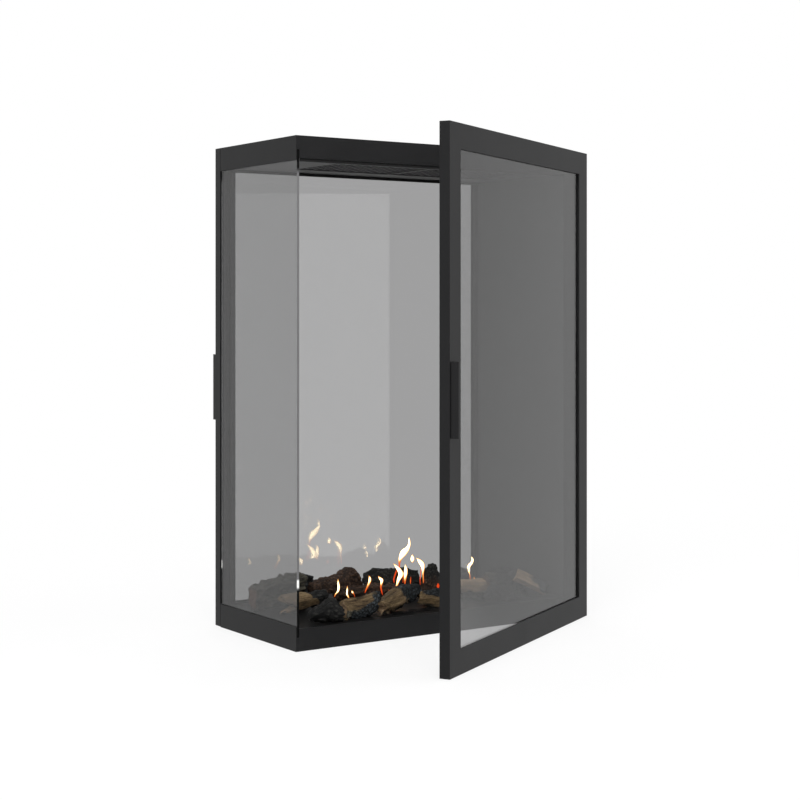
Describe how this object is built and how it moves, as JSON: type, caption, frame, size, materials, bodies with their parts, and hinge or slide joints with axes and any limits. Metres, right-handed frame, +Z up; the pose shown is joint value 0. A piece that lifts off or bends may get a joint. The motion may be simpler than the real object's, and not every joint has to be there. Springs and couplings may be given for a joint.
{
  "type": "double-sided ethanol fireplace",
  "caption": "Tall glazed fireplace box with a hinged glass door front and rear, a glazed left end, a closed right end, grilles in its ceiling and ceramic logs round a slot burner.",
  "frame": {"origin": "centre of the base of the box, on the floor line", "axes": "+X towards the closed hinge end, +Y to the rear door, +Z up; the front faces -Y"},
  "size_m": [0.719, 0.7288, 1],
  "materials": {
    "powder_coat": "anthracite powder coat, fine texture, satin",
    "hearth_steel": "matt black heat-proof paint",
    "ceiling_steel": "grey heat-proof paint, satin",
    "grille_steel": "matt dark grey heat-proof paint",
    "liner_steel": "dark grey heat-proof paint, satin",
    "tinted_glass": "grey tinted toughened glass, polished edges",
    "seal": "black heat-proof seal",
    "insulation": "pressed mineral fibre board",
    "hinge_steel": "black satin",
    "black_screw": "black oxide",
    "zinc_bolt": "zinc plated",
    "magnet": "nickel plated",
    "burner_steel": "brushed, heat tinted",
    "ceramic_wool": "white fibre mat",
    "log_bark": "moulded ceramic, grey-black bark with brown cut ends",
    "log_charred": "moulded ceramic, cracked charcoal",
    "log_brown": "moulded ceramic, red-brown split grain",
    "log_tan": "moulded ceramic, tan split grain with charred ends"
  },
  "bodies": {
    "root": {"base_tray": "powder_coat", "top_tray": "powder_coat", "top_cover": "powder_coat", "floor_plate": "hearth_steel", "ceiling_panel": "ceiling_steel", "ceiling_seals": "seal", "grille_left": "grille_steel", "grille_right": "grille_steel", "side_sill": "powder_coat", "side_header": "powder_coat", "side_glass": "tinted_glass", "side_glass_gaskets": "seal", "right_casing": "powder_coat", "right_liner": "liner_steel", "insulation_board": "insulation", "hinge_leaves": "hinge_steel", "hinge_pins": "hinge_steel", "hinge_screws": "black_screw", "column_bolts": "zinc_bolt", "burner_tank": "burner_steel", "ceramic_wool": "ceramic_wool", "burner_top": "burner_steel", "damper_rails": "burner_steel", "log_rear_left": "log_bark", "log_rear_dark": "log_charred", "log_middle_brown": "log_brown", "log_left_wedge": "log_tan", "log_front_left": "log_charred", "log_front_charred": "log_tan", "log_front_split": "log_tan", "log_front_right": "log_tan", "log_right_tan": "log_tan", "log_right_dark": "log_charred", "log_rear_right": "log_charred", "log_right_end": "log_charred", "log_rear_charred": "log_charred", "log_leaning_brown": "log_brown", "log_leaning_tan": "log_tan", "log_leaning_charred": "log_charred"},
    "burner_damper": {"burner_damper": "burner_steel"},
    "front_door": {"front_door_frame": "powder_coat", "front_door_gasket": "seal", "front_door_glass": "tinted_glass", "front_glass_retainer": "powder_coat", "front_door_seal": "seal", "front_door_magnets": "magnet", "front_handle": "powder_coat", "front_handle_screws": "black_screw", "front_hinge_leaves": "hinge_steel", "front_hinge_screws": "black_screw"},
    "rear_door": {"rear_door_frame": "powder_coat", "rear_door_gasket": "seal", "rear_door_glass": "tinted_glass", "rear_glass_retainer": "powder_coat", "rear_door_seal": "seal", "rear_door_magnets": "magnet", "rear_handle": "powder_coat", "rear_handle_screws": "black_screw", "rear_hinge_leaves": "hinge_steel", "rear_hinge_screws": "black_screw"}
  },
  "joints": [
    {"name": "front_door_hinge", "type": "hinge", "parent": "root", "child": "front_door", "pos_m": [0.3535, -0.15625, 0.18], "axis": [0, 0, 1], "range_deg": [-29.5, 80.5]},
    {"name": "rear_door_hinge", "type": "hinge", "parent": "root", "child": "rear_door", "pos_m": [0.3535, 0.15625, 0.18], "axis": [0, 0, -1], "range_deg": [0, 110]},
    {"name": "burner_damper_slide", "type": "slide", "parent": "root", "child": "burner_damper", "axis": [0, -1, 0], "range_m": [0, 0.064]}
  ]
}
